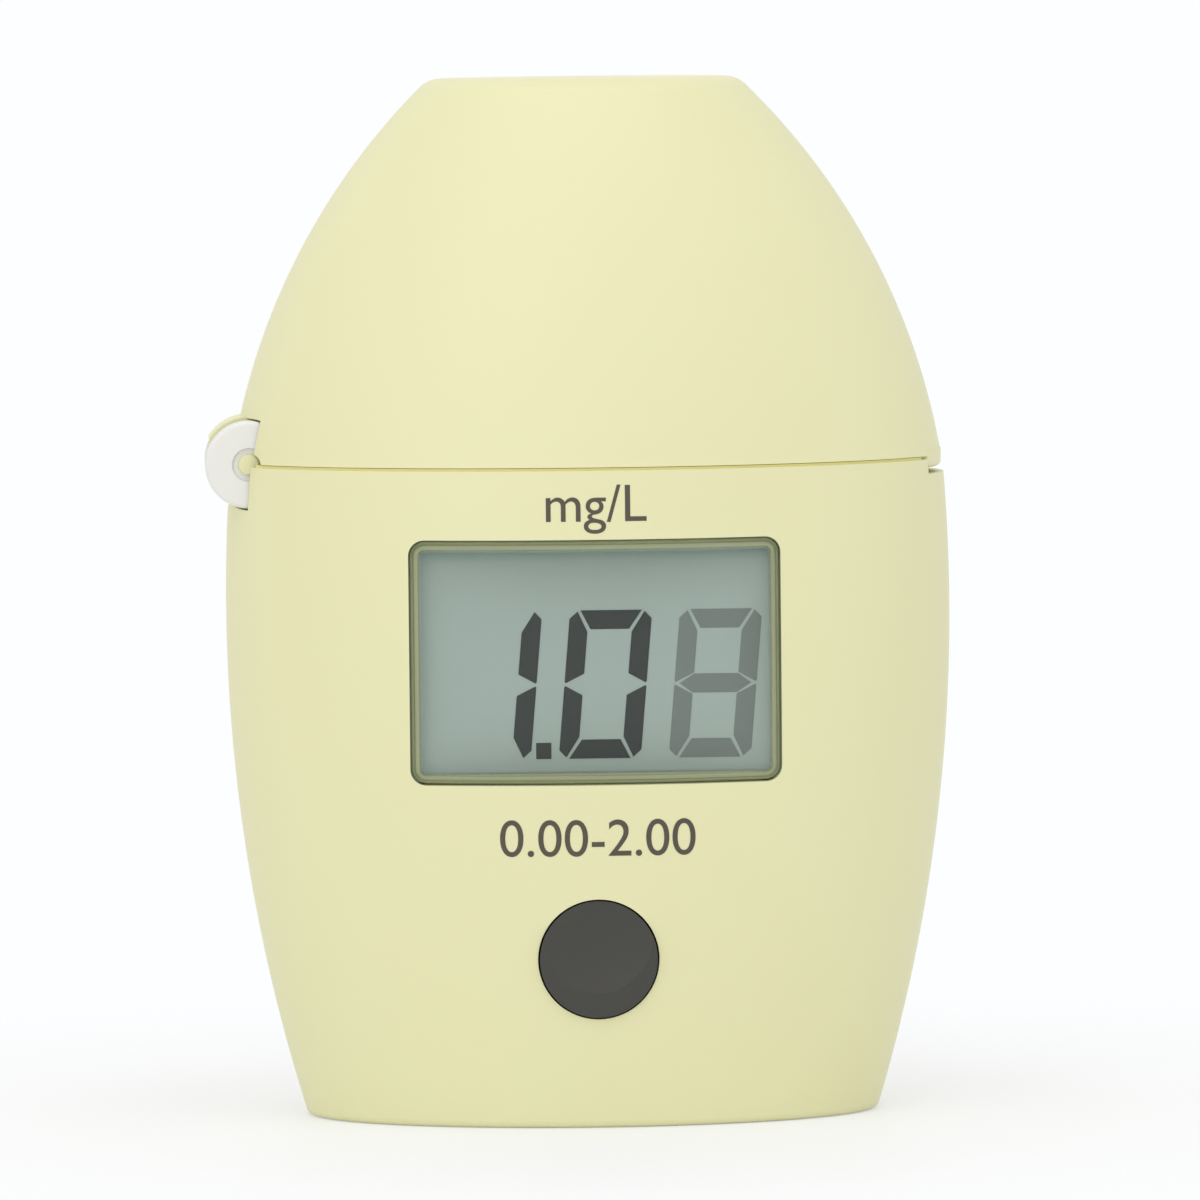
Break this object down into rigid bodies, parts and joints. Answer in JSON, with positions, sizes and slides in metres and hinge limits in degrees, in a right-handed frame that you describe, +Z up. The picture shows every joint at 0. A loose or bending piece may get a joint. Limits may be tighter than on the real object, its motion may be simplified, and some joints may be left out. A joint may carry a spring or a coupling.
{
  "type": "portable colorimeter",
  "caption": "Egg-shaped hand-held colorimeter that stands on a flat base, with a side-hinged lid over a round sample well, a small display window and one push button.",
  "frame": {"origin": "centre of the elliptical base face that the meter stands on", "axes": "+Z up along the meter's height, -Y out of the display window, +X towards the lid's thumb lip, away from the hinge"},
  "size_m": [0.0614, 0.0374, 0.0855],
  "materials": {
    "shell": "satin moulded, cream",
    "white_plastic": "natural white, satin",
    "black_plastic": "matt black, light-tight",
    "key_plastic": "satin dark grey",
    "clear_window": "clear, polished",
    "display": "reflective liquid-crystal glass",
    "strip_rubber": "soft silicone",
    "board": "green solder mask",
    "chip": "moulded black",
    "steel": "zinc plated",
    "dome": "sprung metal dome",
    "contact": "nickel plated",
    "lamp": "clear resin",
    "cell": "printed sleeve, plain"
  },
  "bodies": {
    "housing": {"front_shell": "shell", "rear_shell": "shell", "case_screws": "steel", "top_deck": "shell", "sample_well": "black_plastic", "led_lamp": "lamp", "lamp_board": "board", "light_sensor": "chip", "sensor_board": "board", "window": "clear_window", "display_glass": "display", "display_strips": "strip_rubber", "main_board": "board", "board_chips": "chip", "board_screws": "steel", "key_switch": "dome", "battery_cell": "cell", "contact_plus": "contact", "contact_minus": "contact", "hinge_bracket": "white_plastic", "hinge_pin": "shell"},
    "lid": {"lid_shell": "shell"},
    "button": {"button_cap": "key_plastic"},
    "battery_hatch": {"battery_cover": "shell", "cover_screw": "steel"}
  },
  "joints": [
    {"name": "lid_hinge", "type": "hinge", "parent": "housing", "child": "lid", "pos_m": [-0.0279, 0, 0.0541], "axis": [0, -1, 0], "range_deg": [0, 95]},
    {"name": "button_press", "type": "slide", "parent": "housing", "child": "button", "axis": [0, 1, 0], "range_m": [0, 0.00045], "stiffness_N_per_m": 150},
    {"name": "battery_cover_off", "type": "slide", "parent": "housing", "child": "battery_hatch", "axis": [0, 1, 0], "range_m": [0, 0.015]}
  ]
}
